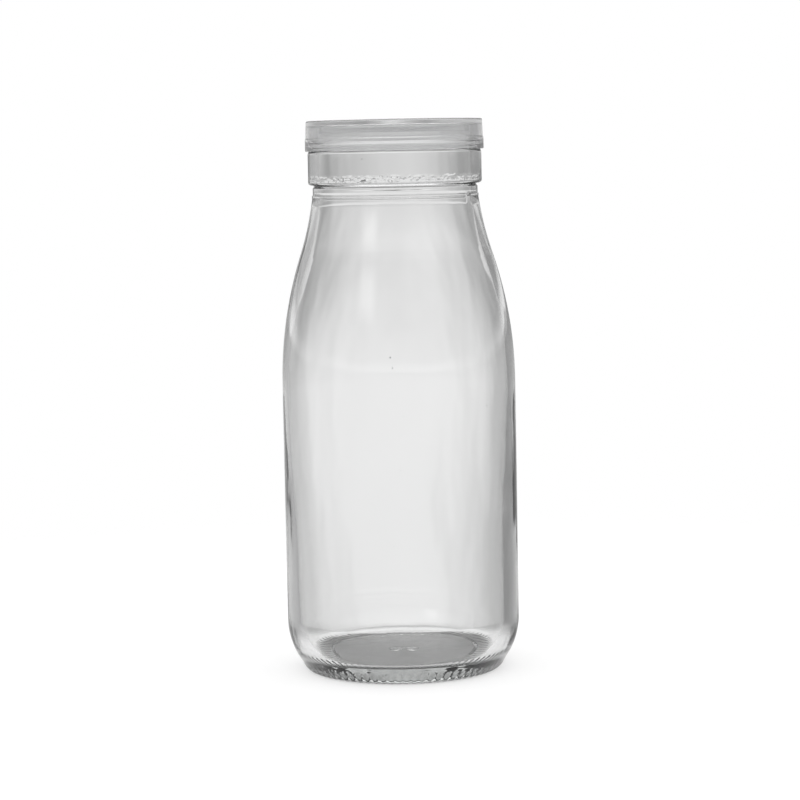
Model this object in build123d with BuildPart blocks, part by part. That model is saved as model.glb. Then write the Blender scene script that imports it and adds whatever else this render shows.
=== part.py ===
from build123d import *
import os
from math import cos, radians, sin, tan

# A small glass milk bottle with a snap lid of plastic.
# The bottle is one piece of blown glass and the lid one piece of moulded plastic: two separate nodes.
# Millimetres, +Z up. The origin is on the axis, at the plane the bottle stands on.
# A point of an outline is (radius, height).

# Bottle, outside, from the base up
body_radius = 31.0
knurl_height = 0.2  # how far the bearing knurls stand proud of the glass
corner_radius = 2.2  # tight corner between heel and bearing ring
heel_radius = 19.3
heel_turn = 41.7  # degrees of the large heel arc
body_top = 76.75  # where the straight body meets the shoulder
shoulder_radius = 108.0
shoulder_turn = 18.4  # degrees, from vertical to the steepest slope
neck_radius = 84.0  # the hollow sweep between shoulder and collar
neck_turn = 10.4
collar_radius = 21.8
collar_bottom = 126.6
collar_top = 128.5
ridge_radius = 22.05  # thin ridge left by the neck ring mould
ridge_height = 0.6
ridge_gap = 0.1  # between the ridge's top edge and the collar's foot
finish_radius = 22.95  # the plain band below the lid
finish_bottom = 129.4
finish_top = 138.25
notch_radius = 21.3  # groove between collar and finish band
groove_radius = 21.9  # undercut that the lid snaps into
groove_top = 140.5
rim_radius = 22.3
rim_bottom = 141.0
glass_top = 144.7

# Bottle, inside
floor_height = 5.0
floor_radius = 22.9  # flat part of the inner floor
inner_corner_radius = 2.5  # tight bend between floor and inner heel
inner_corner_turn = 57.0
inner_heel_radius = 15.0  # keeps the wall round the heel nearly even
inner_taper = 1.5  # degrees, the wall thins towards the shoulder
inner_wall_top = 74.0  # where the inner wall starts to curve in
inner_shoulder_radius = 106.0
inner_slope = 18.0  # degrees from vertical, where the inner shoulder is steepest
throat_sweep = 86.0  # radius of the hollow sweep between inner shoulder and throat
throat_turn = 10.0  # degrees of that sweep
bore_sweep = 27.0  # radius of the bend from the sweep into the upright bore
bore_radius = 20.3
bore_start = 129.0

# Bottle, rounding of the outline's corners
ridge_soft = 0.1
ridge_edge_soft = 0.05
collar_soft = 0.15
notch_soft = 0.12
band_soft = 0.8
groove_foot_soft = 0.2
groove_edge_soft = 0.2
rim_soft = 0.3
lip_soft = 0.6

# Base, underside
bearing_inner = 20.0  # inner edge of the bearing ring
recess_soft = 0.3
push_up = 1.0  # height of the flat underside inside the ring
knurl_count = 76
knurl_share = 0.5  # share of the pitch that a bar takes
knurl_inner = 20.6
knurl_turn = 2.5  # degrees that a bar follows the heel arc
knurl_root = 0.4  # depth of a bar's root inside the glass
mark_radius = 1.7
mark_line = 0.35
mark_height = 0.4
mark_spacing = 4.6
mark_offset = 2.4  # towards the front
mark_dot = 0.4

# Lid
lid_top = 146.1
lid_radius = 23.3
lid_gap = 0.1  # between the bottle's lip and the lid's ceiling
lid_seat = glass_top + lid_gap  # underside of the top plate
lid_bead_radius = 23.6
lid_bead_top = 141.3
lid_bottom = 138.1
skirt_flare = 0.15
skirt_inner = 22.7
snap_radius = 22.42  # inside of the snap bead, just clear of the rim
snap_middle = 139.6
snap_half_height = 0.9
plug_radius = 20.0  # seal lip that dips into the bore
plug_wall = 0.9
plug_taper = 0.15
plug_depth = 2.2
panel_radius = 19.5  # shallow recess in the lid's top
panel_depth = 0.3
gate_radius = 1.1  # the moulding gate's nub at the centre
gate_height = 0.2
gate_taper = 30.0  # degrees

# Lid, rounding of the outline's corners
lid_edge_soft = 0.35
bead_soft = 0.3
skirt_foot_soft = 0.35
skirt_lip_soft = 0.25
ceiling_soft = 0.3
plug_outer_soft = 0.3
plug_inner_soft = 0.2
panel_soft = 0.2

# The heel arc ends where the corner arc starts, and the corner arc ends flat on the bearing ring.
heel_top = knurl_height + corner_radius + (heel_radius - corner_radius) * sin(radians(heel_turn))
corner_centre = (
    body_radius - heel_radius + (heel_radius - corner_radius) * cos(radians(heel_turn)),
    knurl_height + corner_radius,
)
heel_centre = (body_radius - heel_radius, heel_top)


def around(centre, radius, angle):
    """The point at that radius and angle, in degrees from +radius towards +height, from a centre."""
    return (centre[0] + radius * cos(radians(angle)), centre[1] + radius * sin(radians(angle)))


def nearest(sketch, point):
    """The sketch's vertex nearest to an outline point."""
    return sketch.vertices().sort_by_distance((point[0], point[1], 0))[0]


# Knurl: one short bar that follows the bearing edge round its corner and a little way up the heel
with BuildPart() as knurl:
    with BuildSketch(Plane.XZ):
        with BuildLine():
            foot = Line((knurl_inner, 0), (corner_centre[0], 0))
            CenterArc(corner_centre, corner_radius + knurl_height, -90, 90 - heel_turn)
            rise = CenterArc(heel_centre, heel_radius + knurl_height, -heel_turn, knurl_turn)
            Polyline(
                rise @ 1,
                around(heel_centre, heel_radius - knurl_root, knurl_turn - heel_turn),
                around(corner_centre, corner_radius - knurl_root, -heel_turn),
                (corner_centre[0], knurl_height + knurl_root),
                (knurl_inner, knurl_height + knurl_root),
                foot @ 0,
            )
        make_face()
    revolve(axis=Axis.Z, revolution_arc=360 / knurl_count * knurl_share)


# Bottle: one turned wall of glass, closed at the base and open at the mouth
with BuildPart() as glass_bottle:
    with BuildSketch(Plane.XZ) as wall:
        with BuildLine():
            # outside: bearing ring, heel, body, shoulder, neck
            corner = JernArc(
                start=(corner_centre[0], knurl_height),
                tangent=(1, 0),
                radius=corner_radius,
                arc_size=90 - heel_turn,
            )
            heel = JernArc(start=corner @ 1, tangent=corner % 1, radius=heel_radius, arc_size=heel_turn)
            body = Line(heel @ 1, (body_radius, body_top))
            shoulder = JernArc(
                start=body @ 1, tangent=(0, 1), radius=shoulder_radius, arc_size=shoulder_turn
            )
            neck = JernArc(
                start=shoulder @ 1, tangent=shoulder % 1, radius=neck_radius, arc_size=-neck_turn
            )
            # ridge, collar, notch, finish band, snap groove and rim
            collar_foot = (collar_radius, collar_bottom)
            collar_edge = (collar_radius, collar_top)
            notch_bottom = (notch_radius, (collar_top + finish_bottom) / 2)
            band_foot = (finish_radius, finish_bottom)
            band_edge = (finish_radius, finish_top)
            groove_foot = (groove_radius, finish_top)
            groove_edge = (groove_radius, groove_top)
            rim_foot = (rim_radius, rim_bottom)
            lip_edge = (rim_radius, glass_top)
            mouth_edge = (bore_radius, glass_top)
            ridge_foot = (ridge_radius, collar_bottom - ridge_height)
            ridge_edge = (ridge_radius, collar_bottom - ridge_gap)
            Polyline(
                neck @ 1,
                ridge_foot,
                ridge_edge,
                collar_foot,
                collar_edge,
                notch_bottom,
                band_foot,
                band_edge,
                groove_foot,
                groove_edge,
                rim_foot,
                lip_edge,
                mouth_edge,
                (bore_radius, bore_start),
            )
            # inside: floor, heel, wall, shoulder and throat
            floor = Line((0, floor_height), (floor_radius, floor_height))
            inner_corner = JernArc(
                start=floor @ 1,
                tangent=(1, 0),
                radius=inner_corner_radius,
                arc_size=inner_corner_turn,
            )
            inner_heel = JernArc(
                start=inner_corner @ 1,
                tangent=inner_corner % 1,
                radius=inner_heel_radius,
                arc_size=90 - inner_taper - inner_corner_turn,
            )
            wall_rise = inner_wall_top - (inner_heel @ 1).Y
            inner_wall = Line(
                inner_heel @ 1, inner_heel @ 1 + Vector(wall_rise * tan(radians(inner_taper)), wall_rise)
            )
            inner_shoulder = JernArc(
                start=inner_wall @ 1,
                tangent=inner_wall % 1,
                radius=inner_shoulder_radius,
                arc_size=inner_taper + inner_slope,
            )
            throat = JernArc(
                start=inner_shoulder @ 1,
                tangent=inner_shoulder % 1,
                radius=throat_sweep,
                arc_size=-throat_turn,
            )
            bore_foot = JernArc(
                start=throat @ 1,
                tangent=throat % 1,
                radius=bore_sweep,
                arc_size=throat_turn - inner_slope,
            )
            Line(bore_foot @ 1, (bore_radius, bore_start))
            # underside: bearing ring, step that slopes at 45 degrees, and flat recess
            ring_edge = (bearing_inner, knurl_height)
            recess_edge = (bearing_inner - (push_up - knurl_height), push_up)
            Polyline(corner @ 0, ring_edge, recess_edge, (0, push_up), (0, floor_height))
        make_face()
        soft_corners = [
            (ring_edge, recess_soft),
            (recess_edge, recess_soft),
            (ridge_foot, ridge_soft),
            (ridge_edge, ridge_edge_soft),
            (collar_edge, collar_soft),
            (notch_bottom, notch_soft),
            (band_foot, band_soft),
            (band_edge, band_soft),
            (groove_foot, groove_foot_soft),
            (groove_edge, groove_edge_soft),
            (rim_foot, rim_soft),
            (lip_edge, lip_soft),
            (mouth_edge, lip_soft),
        ]
        for point, radius in soft_corners:
            fillet(nearest(wall.sketch_local, point), radius)
    revolve(axis=Axis.Z)

    # Knurls round the bearing edge
    with PolarLocations(0, knurl_count):
        add(knurl.part)

    # Two plain roundels under the base: a ring round a dot, and a ring round three dots
    mark_plane = Plane.XY.offset(push_up - mark_height)
    with BuildSketch(mark_plane):
        with Locations((-mark_spacing / 2, -mark_offset), (mark_spacing / 2, -mark_offset)):
            Circle(mark_radius)
            Circle(mark_radius - mark_line, mode=Mode.SUBTRACT)
        with Locations((mark_spacing / 2, -mark_offset)):
            Circle(mark_dot)
        with Locations((-mark_spacing / 2, -mark_offset)):
            with PolarLocations(mark_radius / 2 - mark_line / 2, 3):
                Circle(mark_dot / 2)
    extrude(amount=2 * mark_height)

glass_bottle.part.label = "glass_bottle"


# Lid: a turned cap with a seal lip inside, a snap bead low in the skirt and a sunk panel on top
with BuildPart() as snap_lid:
    with BuildSketch(Plane.XZ) as cap:
        with BuildLine():
            top_edge = (lid_radius, lid_top)
            bead_top = (lid_bead_radius, lid_bead_top)
            skirt_foot = (lid_bead_radius, lid_bottom)
            skirt_lip = (skirt_inner, lid_bottom)
            ceiling_edge = (skirt_inner, lid_seat)
            plug_foot = (plug_radius - plug_taper, lid_seat - plug_depth)
            plug_inner_foot = (plug_radius - plug_wall, lid_seat - plug_depth)
            panel_edge = (panel_radius, lid_top)
            Polyline(
                (0, lid_top - panel_depth),
                (panel_radius - panel_depth, lid_top - panel_depth),
                panel_edge,
                top_edge,
                (lid_radius + skirt_flare, lid_bead_top + skirt_flare),
                bead_top,
                skirt_foot,
                skirt_lip,
                (skirt_inner, snap_middle - snap_half_height),
            )
            ThreePointArc(
                (skirt_inner, snap_middle - snap_half_height),
                (snap_radius, snap_middle),
                (skirt_inner, snap_middle + snap_half_height),
            )
            Polyline(
                (skirt_inner, snap_middle + snap_half_height),
                ceiling_edge,
                (plug_radius, lid_seat),
                plug_foot,
                plug_inner_foot,
                (plug_radius - plug_wall, lid_seat),
                (0, lid_seat),
                (0, lid_top - panel_depth),
            )
        make_face()
        soft_corners = [
            (top_edge, lid_edge_soft),
            (bead_top, bead_soft),
            (skirt_foot, skirt_foot_soft),
            (skirt_lip, skirt_lip_soft),
            (ceiling_edge, ceiling_soft),
            (plug_foot, plug_outer_soft),
            (plug_inner_foot, plug_inner_soft),
            (panel_edge, panel_soft),
        ]
        for point, radius in soft_corners:
            fillet(nearest(cap.sketch_local, point), radius)
    revolve(axis=Axis.Z)

    # the gate's nub
    with BuildSketch(Plane.XY.offset(lid_top - panel_depth)):
        Circle(gate_radius)
    extrude(amount=gate_height, taper=gate_taper)

snap_lid.part.label = "snap_lid"


os.makedirs("parts", exist_ok=True)
for piece in (glass_bottle.part, snap_lid.part):
    export_step(piece, f"parts/{piece.label}.step")
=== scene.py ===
from math import acos, atan2, copysign, cos, degrees, hypot, pi, radians, sin, sqrt, tan

import bmesh
import bpy
import numpy as np
from mathutils import Matrix, Vector


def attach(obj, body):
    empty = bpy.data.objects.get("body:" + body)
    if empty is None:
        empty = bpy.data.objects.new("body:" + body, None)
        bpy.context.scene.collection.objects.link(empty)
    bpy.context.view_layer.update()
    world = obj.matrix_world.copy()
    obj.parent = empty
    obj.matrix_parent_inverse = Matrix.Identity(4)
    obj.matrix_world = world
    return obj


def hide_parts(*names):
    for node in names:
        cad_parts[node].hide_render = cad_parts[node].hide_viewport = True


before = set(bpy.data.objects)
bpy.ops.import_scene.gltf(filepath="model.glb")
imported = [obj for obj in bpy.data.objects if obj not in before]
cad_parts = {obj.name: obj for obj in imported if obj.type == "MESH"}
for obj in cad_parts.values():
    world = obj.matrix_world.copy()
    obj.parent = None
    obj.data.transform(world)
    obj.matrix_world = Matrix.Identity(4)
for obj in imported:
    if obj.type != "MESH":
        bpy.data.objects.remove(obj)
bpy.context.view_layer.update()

# A small glass milk bottle with a plastic snap lid, in a high-key studio.
# Outlines are drawn in millimetres as (radius, height); everything in the scene is in metres, +Z up.
# The camera looks from the front, along +Y.
MM = 0.001
SUPPORT = 0.2  # mm, from a straight stretch's end to its support point

# Bottle, outside
BODY_RADIUS = 31.0
KNURL_HEIGHT = 0.2
CORNER_RADIUS = 2.2
HEEL_RADIUS = 19.3
HEEL_TURN = 41.7
BODY_TOP = 76.75
SHOULDER_RADIUS = 108.0
SHOULDER_TURN = 18.4
NECK_RADIUS = 84.0
NECK_TURN = 10.4
COLLAR_RADIUS = 21.8
COLLAR_BOTTOM = 126.6
COLLAR_TOP = 128.5
RIDGE_RADIUS = 22.05
RIDGE_HEIGHT = 0.6
RIDGE_GAP = 0.1
FINISH_RADIUS = 22.95
FINISH_BOTTOM = 129.4
FINISH_TOP = 138.25
NOTCH_RADIUS = 21.3
GROOVE_RADIUS = 21.9
GROOVE_TOP = 140.5
RIM_RADIUS = 22.3
RIM_BOTTOM = 141.0
GLASS_TOP = 144.7

# Bottle, inside
FLOOR_HEIGHT = 5.0
FLOOR_RADIUS = 22.9
INNER_CORNER_RADIUS = 2.5
INNER_CORNER_TURN = 57.0
INNER_HEEL_RADIUS = 15.0
INNER_TAPER = 1.5
INNER_WALL_TOP = 74.0
INNER_SHOULDER_RADIUS = 106.0
INNER_SLOPE = 18.0
THROAT_SWEEP = 86.0
THROAT_TURN = 10.0
BORE_SWEEP = 27.0
BORE_RADIUS = 20.3
BORE_START = 129.0

# Bottle, rounding of the outline's corners
RIDGE_SOFT = 0.1
RIDGE_EDGE_SOFT = 0.05
COLLAR_FOOT_SOFT = 0.05
COLLAR_SOFT = 0.15
NOTCH_SOFT = 0.12
BAND_SOFT = 0.8
GROOVE_SOFT = 0.2
RIM_SOFT = 0.3
LIP_SOFT = 0.6

# Bottle, underside
BEARING_INNER = 20.0
RECESS_SOFT = 0.3
PUSH_UP = 1.0
KNURL_COUNT = 76
KNURL_INNER = 20.6
KNURL_TURN = 2.5
MARK_RADIUS = 1.7
MARK_LINE = 0.35
MARK_HEIGHT = 0.4
MARK_SPACING = 4.6
MARK_OFFSET = 2.4
MARK_DOT = 0.4

# Lid
LID_TOP = 146.1
LID_RADIUS = 23.3
LID_SEAT = GLASS_TOP + 0.1
LID_BEAD_RADIUS = 23.6
LID_BEAD_TOP = 141.3
LID_BOTTOM = 138.1
SKIRT_FLARE = 0.15
SKIRT_INNER = 22.7
SNAP_RADIUS = 22.42
SNAP_MIDDLE = 139.6
SNAP_HALF_HEIGHT = 0.9
PLUG_RADIUS = 20.0
PLUG_WALL = 0.9
PLUG_TAPER = 0.15
PLUG_DEPTH = 2.2
PANEL_RADIUS = 19.5
PANEL_DEPTH = 0.3
GATE_RADIUS = 1.1
GATE_HEIGHT = 0.2
GATE_TAPER = 30.0

# Lid, rounding of the outline's corners
PLUG_INNER_SOFT = 0.2
PLUG_OUTER_SOFT = 0.3
PLUG_ROOT_SOFT = 0.15
CEILING_SOFT = 0.3
SKIRT_LIP_SOFT = 0.25
SKIRT_FOOT_SOFT = 0.35
BEAD_SOFT = 0.3
BEAD_LEDGE_SOFT = 0.1
LID_EDGE_SOFT = 0.35
PANEL_SOFT = 0.2
GATE_SOFT = 0.05

# Marks of the making, only in this visual model
THICK_SPOT = (36.0, 0.45)  # height of the wall's thick place, and how far it stands in
THIN_SPOT = (54.0, -0.4)
SPOT_REACH = 16.0
MOTTLE_HEIGHT = 2.8  # height of the finely divided foot of the finish band, which carries the mottle
MOTTLE_DEPTH = 0.07
MOTTLE_FRONT = -pi / 2 - 0.25  # angle round the bottle at which the mottle is strongest
NICK_ANGLE = radians(-30)
NICK_DROP = 0.35  # below the collar's foot
NICK_DEPTH = 0.3
SEED_DEPTH = 1.0  # below the glass's skin
SEED_SLIMNESS = 0.55  # a seed's width as a share of its length

# Table and studio
TABLE_RADIUS = 0.45
TABLE_STEPS = 96
TABLE_DROP = 0.00005  # keeps the table top clear of the knurls
SOFTBOX_STRENGTH = 1.3

# Camera
CAMERA_DISTANCE = 0.692  # from the bottle's axis
CAMERA_SIDE = 0.0002  # to the right of the axis
CAMERA_HEIGHT = 0.1369
AIM_HEIGHT = 0.0718  # where the view's centre meets the axis
CAMERA_ROLL = -1.12  # degrees
LENS = 117.3
SENSOR = 36.0


# ---------------------------------------------------------------- outlines

class Outline:
    """The outline of a turned piece, drawn from point to point with the piece on its left."""

    def __init__(self, start, heading):
        self.points = [start]
        self.heading = heading

    def bend(self, radius, turn, steps):
        """Adds an arc that leaves in the present heading. A positive turn is anticlockwise."""
        side = copysign(90, turn)
        start_r, start_z = self.points[-1]
        to_centre = radians(self.heading + side)
        centre_r = start_r + radius * cos(to_centre)
        centre_z = start_z + radius * sin(to_centre)
        for step in range(1, steps + 1):
            angle = radians(self.heading - side + turn * step / steps)
            self.points.append((centre_r + radius * cos(angle), centre_z + radius * sin(angle)))
        self.heading += turn

    def run(self, end, steps=1):
        """Adds a straight stretch. A long one gets a point near each end, which keeps its shading flat."""
        start = self.points[-1]
        length = hypot(end[0] - start[0], end[1] - start[1])
        shares = [step / steps for step in range(1, steps + 1)]
        if length / steps > 8 * SUPPORT:
            shares = sorted(set(shares) | {SUPPORT / length, 1 - SUPPORT / length})
        for share in shares:
            self.points.append(tuple(a + (b - a) * share for a, b in zip(start, end)))
        self.heading = degrees(atan2(end[1] - start[1], end[0] - start[0]))

    def corners(self, corners, end, steps=4):
        """Adds straight stretches through corners, each (point, rounding radius), to an end point."""
        path = [point for point, _ in corners] + [end]
        for (corner, radius), after in zip(corners, path[1:]):
            arc = rounded(self.points[-1], corner, after, radius, steps)
            self.run(arc[0])
            self.points += arc[1:]
        self.run(end)


def rounded(before, corner, after, radius, steps):
    """The points of the arc that rounds a corner between two straight stretches."""
    before, corner, after = (np.array(p, float) for p in (before, corner, after))
    back = (before - corner) / np.linalg.norm(before - corner)
    ahead = (after - corner) / np.linalg.norm(after - corner)
    half = acos(float(back @ ahead)) / 2
    middle = (back + ahead) / np.linalg.norm(back + ahead)
    centre = corner + middle * radius / sin(half)
    first = corner + back * radius / tan(half) - centre
    last = corner + ahead * radius / tan(half) - centre
    sweep = pi - 2 * half
    points = []
    for step in range(steps + 1):
        share = step / steps
        mixed = first * sin((1 - share) * sweep) + last * sin(share * sweep)
        points.append(tuple(centre + mixed / sin(sweep)))
    return points


def lathe(name, points, segments, relief=None):
    """A closed turned mesh. The outline starts and ends on the axis; relief moves the skin outwards."""
    outline = np.array(points, float)
    angles = np.arange(segments) * 2 * pi / segments
    along = np.gradient(outline, axis=0)
    outward = np.stack([along[:, 1], -along[:, 0]], axis=1)
    outward /= np.linalg.norm(outward, axis=1)[:, None]
    radius = np.repeat(outline[1:-1, :1], segments, axis=1)
    height = np.repeat(outline[1:-1, 1:], segments, axis=1)
    if relief is not None:
        raised = relief(radius, height, outward[1:-1], angles[None, :])
        radius = radius + raised * outward[1:-1, :1]
        height = height + raised * outward[1:-1, 1:]
    rows = len(outline) - 2
    ring = np.stack([radius * np.cos(angles), radius * np.sin(angles), height], axis=2).reshape(-1, 3)
    poles = np.array([(0, 0, outline[0, 1]), (0, 0, outline[-1, 1])])
    vertices = np.concatenate([ring, poles]) * MM
    first_pole, last_pole = rows * segments, rows * segments + 1
    here = np.arange(segments)
    beside = (here + 1) % segments
    faces = []
    for row in range(rows - 1):
        low, high = row * segments, (row + 1) * segments
        faces += zip(here + low, beside + low, beside + high, here + high)
    faces += [(first_pole, b, a) for a, b in zip(here, beside)]
    top = (rows - 1) * segments
    faces += [(a + top, b + top, last_pole) for a, b in zip(here, beside)]
    mesh = bpy.data.meshes.new(name)
    mesh.from_pydata(vertices.tolist(), [], [tuple(int(i) for i in face) for face in faces])
    mesh.polygons.foreach_set("use_smooth", [True] * len(mesh.polygons))
    mesh.update()
    piece = bpy.data.objects.new(name, mesh)
    bpy.context.scene.collection.objects.link(piece)
    return piece


def smooth(value, low, high):
    """0 below low, 1 above high, with an eased step between."""
    share = np.clip((value - low) / (high - low), 0, 1)
    return share * share * (3 - 2 * share)


# ---------------------------------------------------------------- bottle

def bottle_outline():
    """The bottle's wall: underside, ring, heel, body, shoulder, finish, lip, bore, inside and floor."""
    recess_edge = (BEARING_INNER - (PUSH_UP - KNURL_HEIGHT), PUSH_UP)
    mark_reach = MARK_SPACING / 2 + MARK_RADIUS + MARK_OFFSET
    corner_r = BODY_RADIUS - HEEL_RADIUS + (HEEL_RADIUS - CORNER_RADIUS) * cos(radians(HEEL_TURN))
    on_slope = (FINISH_RADIUS - 0.9, FINISH_BOTTOM - 0.25)  # between the notch and the band's foot
    band_foot = (FINISH_RADIUS, FINISH_BOTTOM)

    line = Outline((0, PUSH_UP), 0)
    line.run((mark_reach, PUSH_UP), 30)
    line.corners(
        [(recess_edge, RECESS_SOFT), ((BEARING_INNER, KNURL_HEIGHT), RECESS_SOFT)],
        (KNURL_INNER, KNURL_HEIGHT),
        2,
    )
    line.run((corner_r, KNURL_HEIGHT), 4)
    line.bend(CORNER_RADIUS, 90 - HEEL_TURN, 7)
    line.bend(HEEL_RADIUS, KNURL_TURN, 2)
    line.bend(HEEL_RADIUS, HEEL_TURN - KNURL_TURN, 11)
    line.run((BODY_RADIUS, BODY_TOP), 4)
    line.bend(SHOULDER_RADIUS, SHOULDER_TURN, 12)
    line.bend(NECK_RADIUS, -NECK_TURN, 7)

    line.corners(
        [
            ((RIDGE_RADIUS, COLLAR_BOTTOM - RIDGE_HEIGHT), RIDGE_SOFT),
            ((RIDGE_RADIUS, COLLAR_BOTTOM - RIDGE_GAP), RIDGE_EDGE_SOFT),
            ((COLLAR_RADIUS, COLLAR_BOTTOM), COLLAR_FOOT_SOFT),
            ((COLLAR_RADIUS, COLLAR_TOP), COLLAR_SOFT),
            ((NOTCH_RADIUS, (COLLAR_TOP + FINISH_BOTTOM) / 2), NOTCH_SOFT),
        ],
        on_slope,
        2,
    )
    line.corners([(band_foot, BAND_SOFT)], (FINISH_RADIUS, FINISH_BOTTOM + 1.0), 6)
    line.run((FINISH_RADIUS, FINISH_BOTTOM + MOTTLE_HEIGHT), 8)
    line.corners(
        [
            ((FINISH_RADIUS, FINISH_TOP), BAND_SOFT),
            ((GROOVE_RADIUS, FINISH_TOP), GROOVE_SOFT),
            ((GROOVE_RADIUS, GROOVE_TOP), GROOVE_SOFT),
            ((RIM_RADIUS, RIM_BOTTOM), RIM_SOFT),
            ((RIM_RADIUS, GLASS_TOP), LIP_SOFT),
            ((BORE_RADIUS, GLASS_TOP), LIP_SOFT),
        ],
        (BORE_RADIUS, BORE_START),
        3,
    )
    line.points += inner_outline().points[::-1]
    return line.points


def inner_outline():
    """The inside, drawn from the floor's centre up to the throat."""
    line = Outline((0, FLOOR_HEIGHT), 0)
    line.run((FLOOR_RADIUS, FLOOR_HEIGHT), 6)
    line.bend(INNER_CORNER_RADIUS, INNER_CORNER_TURN, 6)
    line.bend(INNER_HEEL_RADIUS, 90 - INNER_TAPER - INNER_CORNER_TURN, 8)
    start_r, start_z = line.points[-1]
    rise = INNER_WALL_TOP - start_z
    line.run((start_r + rise * tan(radians(INNER_TAPER)), INNER_WALL_TOP), 12)
    line.bend(INNER_SHOULDER_RADIUS, INNER_TAPER + INNER_SLOPE, 14)
    line.bend(THROAT_SWEEP, -THROAT_TURN, 8)
    line.bend(BORE_SWEEP, THROAT_TURN - INNER_SLOPE, 4)
    return line


def knurl_relief(radius, height, outward, angles):
    """Bearing bars: even, round-edged, from the bearing ring round its corner to the heel."""
    pitch = 2 * pi / KNURL_COUNT
    bar = smooth(np.cos((angles - pitch / 4) * KNURL_COUNT), -0.35, 0.35)
    facing_down = outward[:, 1:] < -0.55
    on_ring = (radius > KNURL_INNER - 0.01) & (height < 1.7) & facing_down
    return KNURL_HEIGHT * bar * on_ring


def mark_relief(radius, height, outward, angles):
    """Two roundels moulded under the base: a ring round a dot, and a ring round three dots."""
    x = radius * np.cos(angles)
    y = radius * np.sin(angles) + MARK_OFFSET
    raised = np.zeros_like(x)
    for side, dots in ((1, 1), (-1, 3)):
        centre_x = side * MARK_SPACING / 2
        reach = np.hypot(x - centre_x, y)
        middle = MARK_RADIUS - MARK_LINE / 2
        raised = np.maximum(raised, 1 - smooth(abs(reach - middle), 0.5 * MARK_LINE, MARK_LINE))
        for dot in range(dots):
            spread = 0 if dots == 1 else MARK_RADIUS / 2 - MARK_LINE / 2
            dot_x = centre_x + spread * cos(2 * pi * dot / 3)
            dot_y = spread * sin(2 * pi * dot / 3)
            size = MARK_DOT if dots == 1 else MARK_DOT / 2
            raised = np.maximum(raised, 1 - smooth(np.hypot(x - dot_x, y - dot_y), size, size + 0.2))
    return MARK_HEIGHT * raised * (height < PUSH_UP + 0.1)


def inner_relief(radius, height, outward, angles):
    """Slow waves of the blown inner wall: air alone shaped it, so it is thicker on one side."""
    inside = (outward[:, :1] < 0.2) & (height > FLOOR_HEIGHT + 1.0) & (height < BORE_START)
    right = (1 + np.cos(angles)) / 2
    swell = 0
    for (middle, depth), side in ((THICK_SPOT, right), (THIN_SPOT, 1 - right)):
        swell = swell + depth * np.exp(-(((height - middle) / SPOT_REACH) ** 2)) * side
    swell = swell + 0.04 * np.sin(3 * angles + 0.11 * height)
    swell = swell + 0.012 * np.sin(17 * angles + 0.05 * height)
    fade = smooth(height, FLOOR_HEIGHT + 4, FLOOR_HEIGHT + 16) * (1 - smooth(height, 112, 125))
    return swell * inside * fade


def mottle_relief(radius, height, outward, angles):
    """Granular marks low on the finish band, where the glass first touched the ring mould."""
    outside = (outward[:, :1] > 0.5) & (radius > FINISH_RADIUS - 0.6)
    band = smooth(height, FINISH_BOTTOM + 0.1, FINISH_BOTTOM + 0.6)
    band = band * (1 - smooth(height, FINISH_BOTTOM + 1.8, FINISH_BOTTOM + 2.4))
    rng = np.random.default_rng(7)
    grain = rng.normal(size=(radius.shape[0], angles.shape[1]))
    grain = (grain + np.roll(grain, 1, axis=1)) / 2
    grain = (grain + np.roll(grain, 1, axis=0)) / 2
    apart = np.angle(np.exp(1j * (angles - MOTTLE_FRONT)))
    strength = 0.35 + 0.65 * np.exp(-(apart / 0.55) ** 2)
    return MOTTLE_DEPTH * grain * strength * band * outside


def nick_relief(radius, height, outward, angles):
    """A ragged nick in the ridge under the collar, where the ring mould's halves met."""
    apart = np.angle(np.exp(1j * (angles - NICK_ANGLE)))
    along = 1 - smooth(abs(apart), 0.02, 0.07)
    level = 1 - smooth(abs(height - (COLLAR_BOTTOM - NICK_DROP)), 0.1, 0.5)
    ragged = 0.7 + 0.3 * np.sin(angles * 150)
    return -NICK_DEPTH * along * level * ragged * (outward[:, :1] > 0.3)


def bottle_relief(radius, height, outward, angles):
    """All that is raised on the bottle's skin, in millimetres."""
    raised = knurl_relief(radius, height, outward, angles)
    raised = raised + mark_relief(radius, height, outward, angles)
    raised = raised + inner_relief(radius, height, outward, angles)
    raised = raised + nick_relief(radius, height, outward, angles)
    return raised + mottle_relief(radius, height, outward, angles)


# Seeds: gas bubbles in the glass, as (degrees to the right of the front, height in mm, half length in mm).
SEEDS = [
    (-22, 136.0, 0.2), (-4, 85.5, 0.25), (-3, 82.8, 0.18), (2, 70.5, 0.13), (0, 56.5, 0.15),
    (48, 71.8, 0.2), (-52, 39.0, 0.2), (-4, 37.0, 0.13),
]


def glass_seeds():
    """Small long bubbles inside the wall. Their faces look inwards, because the gas is inside them."""
    bubbles = bmesh.new()
    for turn, height, half_length in SEEDS:
        skin = FINISH_RADIUS if height > FINISH_BOTTOM else BODY_RADIUS
        if BODY_TOP < height < FINISH_BOTTOM:
            skin -= SHOULDER_RADIUS - sqrt(SHOULDER_RADIUS ** 2 - (height - BODY_TOP) ** 2)
        angle = radians(turn - 90)
        reach = skin - SEED_DEPTH
        place = Matrix.Translation(Vector((reach * cos(angle), reach * sin(angle), height)) * MM)
        width = half_length * SEED_SLIMNESS
        size = Matrix.Diagonal((width * MM, width * MM, half_length * MM, 1))
        bmesh.ops.create_uvsphere(bubbles, u_segments=16, v_segments=10, radius=1, matrix=place @ size)
    bmesh.ops.reverse_faces(bubbles, faces=bubbles.faces)
    for face in bubbles.faces:
        face.smooth = True
    mesh = bpy.data.meshes.new("glass_seeds")
    bubbles.to_mesh(mesh)
    bubbles.free()
    piece = bpy.data.objects.new("glass_seeds", mesh)
    bpy.context.scene.collection.objects.link(piece)
    return piece


# ---------------------------------------------------------------- lid

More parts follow.
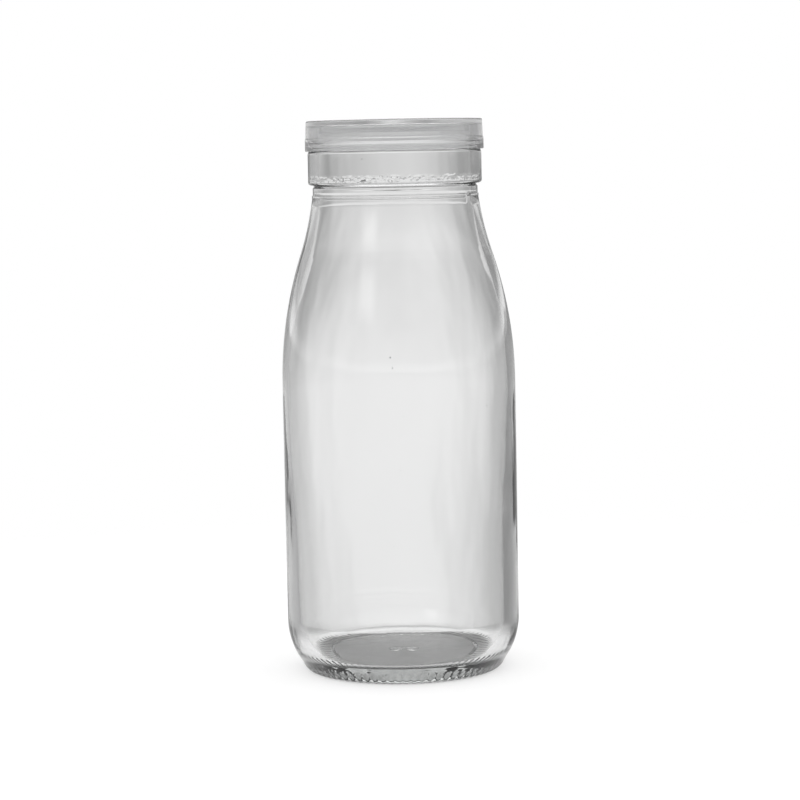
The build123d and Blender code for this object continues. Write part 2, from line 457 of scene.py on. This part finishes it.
def lid_outline():
    """The lid: top panel, edge, skirt with its bead, snap bead inside, ceiling and seal lip."""
    # drawn with the plastic on its left: from the ceiling's centre out, down, round the skirt and back
    line = Outline((0, LID_SEAT), 0)
    line.run((PLUG_RADIUS - PLUG_WALL - 1, LID_SEAT), 6)
    line.corners(
        [
            ((PLUG_RADIUS - PLUG_WALL, LID_SEAT), PLUG_INNER_SOFT),
            ((PLUG_RADIUS - PLUG_WALL, LID_SEAT - PLUG_DEPTH), PLUG_INNER_SOFT),
            ((PLUG_RADIUS - PLUG_TAPER, LID_SEAT - PLUG_DEPTH), PLUG_OUTER_SOFT),
            ((PLUG_RADIUS, LID_SEAT), PLUG_ROOT_SOFT),
            ((SKIRT_INNER, LID_SEAT), CEILING_SOFT),
        ],
        (SKIRT_INNER, SNAP_MIDDLE + SNAP_HALF_HEIGHT),
    )
    depth = SKIRT_INNER - SNAP_RADIUS
    for step in range(1, 10):
        share = step / 10
        bead_r = SKIRT_INNER - depth * sin(pi * share)
        line.points.append((bead_r, SNAP_MIDDLE + SNAP_HALF_HEIGHT * (1 - 2 * share)))
    line.points.append((SKIRT_INNER, SNAP_MIDDLE - SNAP_HALF_HEIGHT))
    line.corners(
        [
            ((SKIRT_INNER, LID_BOTTOM), SKIRT_LIP_SOFT),
            ((LID_BEAD_RADIUS, LID_BOTTOM), SKIRT_FOOT_SOFT),
            ((LID_BEAD_RADIUS, LID_BEAD_TOP), BEAD_SOFT),
            ((LID_RADIUS + SKIRT_FLARE, LID_BEAD_TOP + SKIRT_FLARE), BEAD_LEDGE_SOFT),
            ((LID_RADIUS, LID_TOP), LID_EDGE_SOFT),
            ((PANEL_RADIUS, LID_TOP), PANEL_SOFT),
            ((PANEL_RADIUS - PANEL_DEPTH, LID_TOP - PANEL_DEPTH), PANEL_SOFT),
        ],
        (PANEL_RADIUS - 1.5, LID_TOP - PANEL_DEPTH),
    )
    line.run((GATE_RADIUS + 1, LID_TOP - PANEL_DEPTH), 6)
    gate_top = LID_TOP - PANEL_DEPTH + GATE_HEIGHT
    line.corners(
        [
            ((GATE_RADIUS, LID_TOP - PANEL_DEPTH), GATE_SOFT),
            ((GATE_RADIUS - GATE_HEIGHT * tan(radians(GATE_TAPER)), gate_top), GATE_SOFT),
        ],
        (0, gate_top),
        2,
    )
    return line.points


# ---------------------------------------------------------------- materials

def new_material(name):
    """An empty node material, its tree and its output."""
    material = bpy.data.materials.new(name)
    material.use_nodes = True
    tree = material.node_tree
    tree.nodes.clear()
    output = tree.nodes.new("ShaderNodeOutputMaterial")
    return material, tree, output


def noise(tree, scale, detail=2.0, stretch=(1, 1, 1)):
    """A noise texture in the piece's own coordinates; scale is in waves per metre."""
    coordinates = tree.nodes.new("ShaderNodeTexCoord")
    mapping = tree.nodes.new("ShaderNodeMapping")
    mapping.inputs["Scale"].default_value = stretch
    texture = tree.nodes.new("ShaderNodeTexNoise")
    texture.inputs["Scale"].default_value = scale
    texture.inputs["Detail"].default_value = detail
    tree.links.new(coordinates.outputs["Object"], mapping.inputs["Vector"])
    tree.links.new(mapping.outputs["Vector"], texture.inputs["Vector"])
    return texture.outputs["Fac"]


def spread(tree, value, low, high):
    """Maps a 0 to 1 value onto the range from low to high."""
    node = tree.nodes.new("ShaderNodeMapRange")
    node.inputs["From Min"].default_value = 0.3
    node.inputs["From Max"].default_value = 0.7
    node.inputs["To Min"].default_value = low
    node.inputs["To Max"].default_value = high
    tree.links.new(value, node.inputs["Value"])
    return node.outputs["Result"]


def bump(tree, value, distance, strength=1.0):
    """A bump of that depth in metres."""
    node = tree.nodes.new("ShaderNodeBump")
    node.inputs["Distance"].default_value = distance
    node.inputs["Strength"].default_value = strength
    tree.links.new(value, node.inputs["Height"])
    return node.outputs["Normal"]


def clear_glass():
    """Clear soda-lime glass with the slow waves of a blown wall and a trace of handling haze."""
    material, tree, output = new_material("clear_glass")
    glass = tree.nodes.new("ShaderNodeBsdfPrincipled")
    glass.inputs["Base Color"].default_value = (1.0, 1.0, 1.0, 1.0)
    glass.inputs["Transmission Weight"].default_value = 1.0
    glass.inputs["IOR"].default_value = 1.52
    tree.links.new(spread(tree, noise(tree, 60, 4), 0.0, 0.02), glass.inputs["Roughness"])
    tree.links.new(bump(tree, noise(tree, 90, 2, (1, 1, 0.35)), 0.00012), glass.inputs["Normal"])
    absorb = tree.nodes.new("ShaderNodeVolumeAbsorption")
    absorb.inputs["Color"].default_value = (0.55, 0.57, 0.56, 1.0)
    absorb.inputs["Density"].default_value = 20.0
    tree.links.new(glass.outputs["BSDF"], output.inputs["Surface"])
    tree.links.new(absorb.outputs["Volume"], output.inputs["Volume"])
    return material


def lid_plastic():
    """Natural translucent polyethylene: milky, faintly frosted, with slight flow marks."""
    material, tree, output = new_material("lid_plastic")
    plastic = tree.nodes.new("ShaderNodeBsdfPrincipled")
    plastic.inputs["Base Color"].default_value = (0.985, 0.987, 0.99, 1.0)
    plastic.inputs["Transmission Weight"].default_value = 0.88
    plastic.inputs["IOR"].default_value = 1.5
    tree.links.new(spread(tree, noise(tree, 350, 3), 0.03, 0.07), plastic.inputs["Roughness"])
    tree.links.new(bump(tree, noise(tree, 500, 2), 0.00001), plastic.inputs["Normal"])
    tree.links.new(plastic.outputs["BSDF"], output.inputs["Surface"])
    return material


# ---------------------------------------------------------------- studio

class Graph:
    """Short names for the arithmetic nodes of one node tree."""

    def __init__(self, tree):
        self.tree = tree

    def math(self, operation, *values):
        node = self.tree.nodes.new("ShaderNodeMath")
        node.operation = operation
        for socket, value in zip(node.inputs, values):
            if isinstance(value, (int, float)):
                socket.default_value = value
            else:
                self.tree.links.new(value, socket)
        return node.outputs["Value"]

    def step(self, value, start, end):
        """0 at start, 1 at end, eased between."""
        node = self.tree.nodes.new("ShaderNodeMapRange")
        node.interpolation_type = "SMOOTHSTEP"
        node.inputs["From Min"].default_value = start
        node.inputs["From Max"].default_value = end
        self.tree.links.new(value, node.inputs["Value"])
        return node.outputs["Result"]

    def mix(self, share, first, second):
        """first where share is 0, second where it is 1."""
        change = self.math("MULTIPLY", share, self.math("SUBTRACT", second, first))
        return self.math("ADD", first, change)

    def ramp(self, value, low, high, stops):
        """A smooth curve through (position, level) stops, where position runs from low to high."""
        scaled = self.math("DIVIDE", self.math("SUBTRACT", value, low), high - low)
        node = self.tree.nodes.new("ShaderNodeValToRGB")
        node.color_ramp.interpolation = "EASE"
        elements = node.color_ramp.elements
        while len(elements) < len(stops):
            elements.new(0.5)
        top = max(level for _, level in stops)
        for element, (position, level) in zip(elements, stops):
            element.position = (position - low) / (high - low)
            element.color = (level / top, level / top, level / top, 1)
        self.tree.links.new(scaled, node.inputs["Fac"])
        return self.math("MULTIPLY", node.outputs["Color"], top)


# How bright the studio is round the bottle, by azimuth: 0 is straight behind it, 90 is to its right.
# A lit panel stands behind it and darker cards beside that. FAR is level with the lid, NEAR is what shows
# through the body, and UNDER is what the base sees.
FAR_LEVELS = [
    (-180, 0.45), (-135, 0.45), (-100, 0.55), (-90, 0.8), (-75, 0.6), (-44, 0.5), (-24, 0.46), (-13, 0.3),
    (-9, 0.4), (-6, 0.5), (-3.5, 0.58), (-1, 0.7), (1.5, 0.74), (4, 0.62), (7, 0.44), (13, 0.27),
    (24, 0.32), (44, 0.32), (75, 0.6), (90, 0.8), (100, 0.55), (135, 0.45), (180, 0.45),
]
NEAR_LEVELS = [
    (-180, 0.5), (-135, 0.5), (-100, 0.6), (-90, 0.9), (-75, 0.6), (-44, 0.43), (-30, 0.56), (-19, 0.72),
    (-14, 0.69), (-8, 0.77), (-5, 0.84), (-2, 0.92), (2, 0.93), (5, 0.81), (8, 0.69), (13, 0.54),
    (22, 0.46), (30, 0.36), (44, 0.28), (75, 0.6), (90, 0.9), (100, 0.6), (135, 0.5), (180, 0.5),
]
UNDER_LEVELS = [
    (-180, 0.35), (-150, 0.5), (-120, 0.8), (-90, 0.6), (-60, 0.75), (-35, 0.5), (-18, 0.3), (0, 0.25),
    (18, 0.3), (35, 0.5), (60, 0.75), (90, 0.6), (120, 0.8), (150, 0.5), (180, 0.35),
]


def studio_world():
    """White to the camera, and the studio's levels to every other ray."""
    world = bpy.data.worlds.new("studio")
    bpy.context.scene.world = world
    world.use_nodes = True
    tree = world.node_tree
    tree.nodes.clear()
    g = Graph(tree)
    direction = tree.nodes.new("ShaderNodeTexCoord")
    split = tree.nodes.new("ShaderNodeSeparateXYZ")
    tree.links.new(direction.outputs["Generated"], split.inputs["Vector"])
    x, y, z = split.outputs
    azimuth = g.math("DEGREES", g.math("ARCTAN2", x, y))
    elevation = g.math("DEGREES", g.math("ARCSINE", z))

    far = g.ramp(azimuth, -180, 180, FAR_LEVELS)
    near = g.ramp(azimuth, -180, 180, NEAR_LEVELS)
    under = g.ramp(azimuth, -180, 180, UNDER_LEVELS)
    above = g.ramp(elevation, -90, 90, [(-90, 0.5), (10, 0.5), (32, 0.85), (60, 1.6), (90, 1.9)])
    level = g.mix(g.step(elevation, -5.5, -0.6), near, far)
    behind_lid = g.math("MULTIPLY", g.step(elevation, 0.0, 0.7), g.step(elevation, 4.0, 1.5))
    level = g.mix(behind_lid, level, g.math("MAXIMUM", level, 0.84))
    level = g.mix(g.step(elevation, -13, -18), level, under)
    level = g.mix(g.step(elevation, 8, 20), level, above)
    softbox = g.math(
        "MULTIPLY",
        g.math("MULTIPLY", g.step(azimuth, -160, -148), g.step(azimuth, -130, -142)),
        g.math("MULTIPLY", g.step(elevation, 12, 21), g.step(elevation, 34, 25)),
    )
    level = g.math("ADD", level, g.math("MULTIPLY", softbox, SOFTBOX_STRENGTH))

    rays = tree.nodes.new("ShaderNodeLightPath")
    level = g.math(
        "ADD",
        g.math("MULTIPLY", level, g.math("SUBTRACT", 1.0, rays.outputs["Is Camera Ray"])),
        rays.outputs["Is Camera Ray"],
    )
    background = tree.nodes.new("ShaderNodeBackground")
    background.inputs["Color"].default_value = (1, 1, 1, 1)
    tree.links.new(level, background.inputs["Strength"])
    output = tree.nodes.new("ShaderNodeOutputWorld")
    tree.links.new(background.outputs["Background"], output.inputs["Surface"])


def floor():
    """A round white table top that fades into the white background. Beyond the bottle's footprint it glows
    with painted light; under the bottle it has no glow, a painted shade.
    """
    turns = [2 * pi * step / TABLE_STEPS for step in range(TABLE_STEPS)]
    rim = [(TABLE_RADIUS * cos(turn), TABLE_RADIUS * sin(turn), -TABLE_DROP) for turn in turns]
    mesh = bpy.data.meshes.new("table_top")
    mesh.from_pydata(rim, [], [tuple(range(TABLE_STEPS))])
    table = bpy.data.objects.new("table_top", mesh)
    bpy.context.scene.collection.objects.link(table)
    material, tree, output = new_material("white_table")
    g = Graph(tree)
    paper = tree.nodes.new("ShaderNodeBsdfDiffuse")
    painted_glow = tree.nodes.new("ShaderNodeEmission")
    coordinates = tree.nodes.new("ShaderNodeTexCoord")
    length = tree.nodes.new("ShaderNodeVectorMath")
    length.operation = "LENGTH"
    tree.links.new(coordinates.outputs["Object"], length.inputs[0])
    reach = length.outputs["Value"]
    # Painted light and shade: beyond the bottle's footprint the table glows though it is no lamp, which
    # keeps it white and lightens its real shadow; under the bottle the glow is left out, a painted shade.
    outside = g.step(reach, 0.021, 0.027)
    tree.links.new(g.mix(outside, 0.0, 0.6), painted_glow.inputs["Strength"])
    tree.links.new(g.mix(outside, 0.5, 0.42), paper.inputs["Color"])
    lit = tree.nodes.new("ShaderNodeAddShader")
    tree.links.new(paper.outputs["BSDF"], lit.inputs[0])
    tree.links.new(painted_glow.outputs["Emission"], lit.inputs[1])
    clear = tree.nodes.new("ShaderNodeBsdfTransparent")
    rays = tree.nodes.new("ShaderNodeLightPath")
    seen = rays.outputs["Is Camera Ray"]
    # Rays other than the camera's see the table only under the bottle, where the painted shade is, and
    # pass through it elsewhere.
    shown = g.mix(seen, g.step(reach, 0.05, 0.03), g.step(reach, 0.3, 0.12))
    blend = tree.nodes.new("ShaderNodeMixShader")
    tree.links.new(shown, blend.inputs["Fac"])
    tree.links.new(clear.outputs["BSDF"], blend.inputs[1])
    tree.links.new(lit.outputs["Shader"], blend.inputs[2])
    tree.links.new(blend.outputs["Shader"], output.inputs["Surface"])
    mesh.materials.append(material)
    return table


def camera():
    """The camera in front of the bottle, a little above its shoulder, looking slightly down."""
    data = bpy.data.cameras.new("camera")
    data.lens = LENS
    data.sensor_width = SENSOR
    data.clip_start = 0.01
    data.clip_end = 20
    eye = bpy.data.objects.new("camera", data)
    pitch = atan2(CAMERA_HEIGHT - AIM_HEIGHT, CAMERA_DISTANCE)
    eye.location = (CAMERA_SIDE, -CAMERA_DISTANCE, CAMERA_HEIGHT)
    eye.rotation_mode = "XYZ"
    eye.rotation_euler = (pi / 2 - pitch, 0, 0)
    eye.matrix_world = eye.matrix_basis
    bpy.context.scene.collection.objects.link(eye)
    eye.rotation_euler.rotate_axis("Z", radians(CAMERA_ROLL))
    bpy.context.scene.camera = eye


# ---------------------------------------------------------------- the scene

camera()
studio_world()
floor()

bottle = lathe("milk_bottle", bottle_outline(), 6 * KNURL_COUNT, bottle_relief)
glass = clear_glass()
bottle.data.materials.append(glass)
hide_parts("glass_bottle")
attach(bottle, "bottle")

seeds = glass_seeds()
seeds.data.materials.append(glass)
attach(seeds, "bottle")

lid = lathe("lid", lid_outline(), 288)
lid.data.materials.append(lid_plastic())
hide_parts("snap_lid")
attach(lid, "lid")

scene = bpy.context.scene
scene.view_settings.view_transform = "Standard"
scene.cycles.use_denoising = True
scene.cycles.max_bounces = 24
scene.cycles.transmission_bounces = 24
scene.cycles.transparent_max_bounces = 12
scene.cycles.caustics_reflective = True
scene.cycles.caustics_refractive = True
